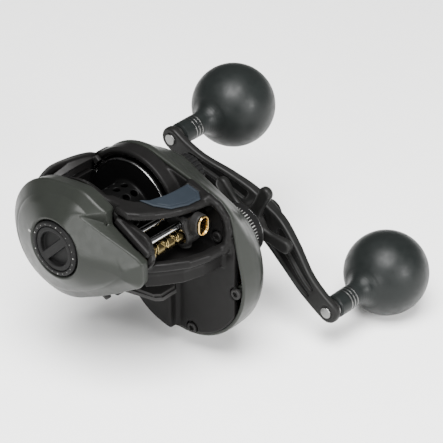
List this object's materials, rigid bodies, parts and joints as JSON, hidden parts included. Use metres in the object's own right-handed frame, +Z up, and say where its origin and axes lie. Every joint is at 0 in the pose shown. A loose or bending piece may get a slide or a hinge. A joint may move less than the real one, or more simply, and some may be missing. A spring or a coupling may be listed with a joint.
{
  "type": "baitcasting reel",
  "caption": "Low-profile baitcasting fishing reel with a left-hand double crank, round knobs, star drag, level wind and a dial brake on the palm side plate.",
  "frame": {"origin": "middle of the reel foot's flat underside", "axes": "+X from the palm side plate to the crank, +Y towards the angler, -Y the way the line leaves, +Z up away from the rod"},
  "size_m": [0.1335, 0.1098, 0.0798],
  "materials": {
    "frame_black": "satin black anodised",
    "foot_black": "satin black anodised",
    "olive_metal": "satin olive-grey anodised",
    "slate_accent": "satin slate blue",
    "dial_black": "moulded",
    "spool_black": "gloss black anodised",
    "steel": "machined",
    "chrome_rod": "polished",
    "brass_gear": "machined",
    "worm_brass": "machined",
    "gold_ring": "polished gold colour",
    "white_nylon": "moulded",
    "black_plastic": "moulded",
    "carbon_black": "woven carbon",
    "bare_aluminium": "turned",
    "handle_black": "satin black",
    "knob_soft": "soft-touch"
  },
  "bodies": {
    "frame": {"frame": "frame_black", "reel_foot": "foot_black", "foot_rivets": "steel", "hood_insert": "slate_accent", "gear_cover": "olive_metal", "cover_screws": "steel", "ratio_collar": "dial_black", "anti_reverse_bearing": "steel", "shaft_inner_bearing": "steel", "shaft_outer_bearing": "steel", "gear_side_spool_bearing": "steel", "worm_bushes": "white_nylon", "guide_rods": "chrome_rod", "idler_pin": "steel", "yoke_posts": "steel", "yoke_springs": "steel", "thumb_bar_spring": "steel"},
    "palm_plate": {"palm_plate": "olive_metal", "palm_spool_bearing": "steel"},
    "palm_latch": {"palm_latch": "black_plastic"},
    "brake_dial": {"brake_dial_ring": "dial_black", "brake_dial_cap": "dial_black", "brake_magnets": "steel"},
    "spool": {"spool": "spool_black", "spool_shaft": "steel", "spool_pin": "steel", "brake_drum": "bare_aluminium"},
    "cast_cap": {"cast_control_cap": "frame_black"},
    "thumb_bar": {"thumb_bar": "black_plastic", "clutch_link": "steel"},
    "clutch_cam": {"clutch_cam": "steel", "kick_lever": "steel"},
    "clutch_yoke": {"clutch_yoke": "black_plastic"},
    "pinion": {"pinion": "brass_gear"},
    "crank": {"drive_shaft": "steel", "drive_gear": "brass_gear", "drag_washers": "carbon_black", "drag_plates": "steel", "ratchet_wheel": "steel", "level_wind_cog": "black_plastic", "anti_reverse_sleeve": "steel", "drag_springs": "steel", "handle_arm": "handle_black", "handle_nut": "steel", "nut_retainer": "handle_black", "knob_posts": "steel"},
    "star": {"star_drag": "handle_black"},
    "front_knob": {"knob_front": "knob_soft", "knob_front_rings": "bare_aluminium"},
    "rear_knob": {"knob_rear": "knob_soft", "knob_rear_rings": "bare_aluminium"},
    "idler": {"idler_gear": "white_nylon"},
    "worm": {"worm_gear": "white_nylon", "worm_shaft": "worm_brass"},
    "line_guide": {"line_guide": "black_plastic", "line_eyelet": "gold_ring", "guide_pawl": "brass_gear", "pawl_cap": "black_plastic"}
  },
  "joints": [
    {"name": "crank_turn", "type": "hinge", "parent": "frame", "child": "crank", "pos_m": [0.03, -0.0211, 0.0063], "axis": [1, 0, 0], "continuous": true},
    {"name": "spool_spin", "type": "hinge", "parent": "frame", "child": "spool", "pos_m": [0, 0, 0.025], "axis": [1, 0, 0], "continuous": true},
    {"name": "thumb_press", "type": "slide", "parent": "frame", "child": "thumb_bar", "axis": [0, 0.6, -0.8], "range_m": [0, 0.0045], "stiffness_N_per_m": 350, "springref_m": -0.002, "deforming": ["thumb_bar_spring"]},
    {"name": "clutch_cam_turn", "type": "hinge", "parent": "frame", "child": "clutch_cam", "pos_m": [0.0165, 0, 0.025], "axis": [1, 0, 0], "range_deg": [-28, 0.5]},
    {"name": "clutch_yoke_slide", "type": "slide", "parent": "frame", "child": "clutch_yoke", "axis": [1, 0, 0], "range_m": [-0.0001, 0.0017], "deforming": ["yoke_springs"]},
    {"name": "pinion_spin", "type": "hinge", "parent": "clutch_yoke", "child": "pinion", "pos_m": [0.02, 0, 0.025], "axis": [1, 0, 0], "continuous": true},
    {"name": "star_turn", "type": "hinge", "parent": "crank", "child": "star", "pos_m": [0.049, -0.0211, 0.0063], "axis": [1, 0, 0], "range_deg": [-360, 360]},
    {"name": "front_knob_spin", "type": "hinge", "parent": "crank", "child": "front_knob", "pos_m": [0.07, -0.05965, -0.01614], "axis": [1, 0, 0], "continuous": true},
    {"name": "rear_knob_spin", "type": "hinge", "parent": "crank", "child": "rear_knob", "pos_m": [0.07, 0.01745, 0.02874], "axis": [1, 0, 0], "continuous": true},
    {"name": "idler_spin", "type": "hinge", "parent": "frame", "child": "idler", "pos_m": [0.018, -0.02847, 0.01615], "axis": [1, 0, 0], "continuous": true},
    {"name": "worm_spin", "type": "hinge", "parent": "frame", "child": "worm", "pos_m": [0, -0.0295, 0.0269], "axis": [1, 0, 0], "continuous": true},
    {"name": "line_guide_slide", "type": "slide", "parent": "frame", "child": "line_guide", "axis": [1, 0, 0], "range_m": [-0.0115, 0.0042]},
    {"name": "palm_plate_off", "type": "slide", "parent": "frame", "child": "palm_plate", "axis": [-1, 0, 0], "range_m": [0, 0.03]},
    {"name": "palm_latch_turn", "type": "hinge", "parent": "frame", "child": "palm_latch", "pos_m": [-0.0185, -0.0088, 0.0066], "axis": [1, 0, 0], "range_deg": [-30, 0]},
    {"name": "brake_dial_turn", "type": "hinge", "parent": "palm_plate", "child": "brake_dial", "pos_m": [-0.03, 0, 0.025], "axis": [1, 0, 0], "range_deg": [-150, 120]},
    {"name": "cast_cap_turn", "type": "hinge", "parent": "frame", "child": "cast_cap", "pos_m": [0.038, 0, 0.025], "axis": [1, 0, 0], "range_deg": [-360, 360]}
  ],
  "couplings": [
    {"joint": "spool_spin", "follows": "crank_turn", "ratio": -5.3846},
    {"joint": "pinion_spin", "follows": "crank_turn", "ratio": -5.3846},
    {"joint": "idler_spin", "follows": "crank_turn", "ratio": -0.95238},
    {"joint": "worm_spin", "follows": "crank_turn", "ratio": 1.3333},
    {"joint": "clutch_yoke_slide", "follows": "thumb_press", "ratio": 0.35556},
    {"joint": "clutch_cam_turn", "follows": "thumb_press", "rad_per_m": -96.963}
  ]
}
